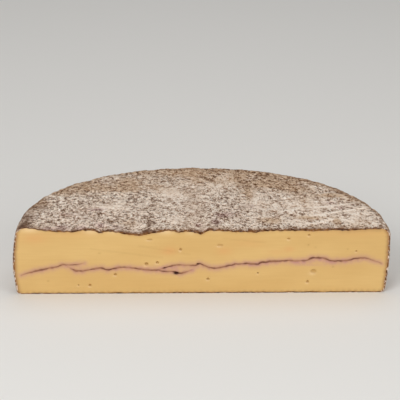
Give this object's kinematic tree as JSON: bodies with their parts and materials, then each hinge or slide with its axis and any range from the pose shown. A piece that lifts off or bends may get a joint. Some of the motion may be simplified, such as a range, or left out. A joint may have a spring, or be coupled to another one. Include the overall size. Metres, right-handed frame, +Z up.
{
  "type": "half wheel of mould-rinded mountain cheese",
  "caption": "Half wheel of semi-hard cheese with a craggy grey mould rind, its cut face showing pale paste and a thin wavy dark vein.",
  "frame": {"origin": "under the middle of the half wheel's box, on the flat base that it lies on", "axes": "+Z up; the cut face looks along -Y and the round side along +Y; +X to the right as seen from the cut face"},
  "size_m": [0.36, 0.179, 0.0688],
  "materials": {
    "paste": "smooth, slightly waxy pale yellow cheese paste",
    "rind": "dry, rough brown rind grown over with pale grey mould",
    "vein": "thin wine-dark line, matt"
  },
  "bodies": {
    "root": {"cheese": "paste", "vein_layer": "vein"}
  },
  "joints": []
}
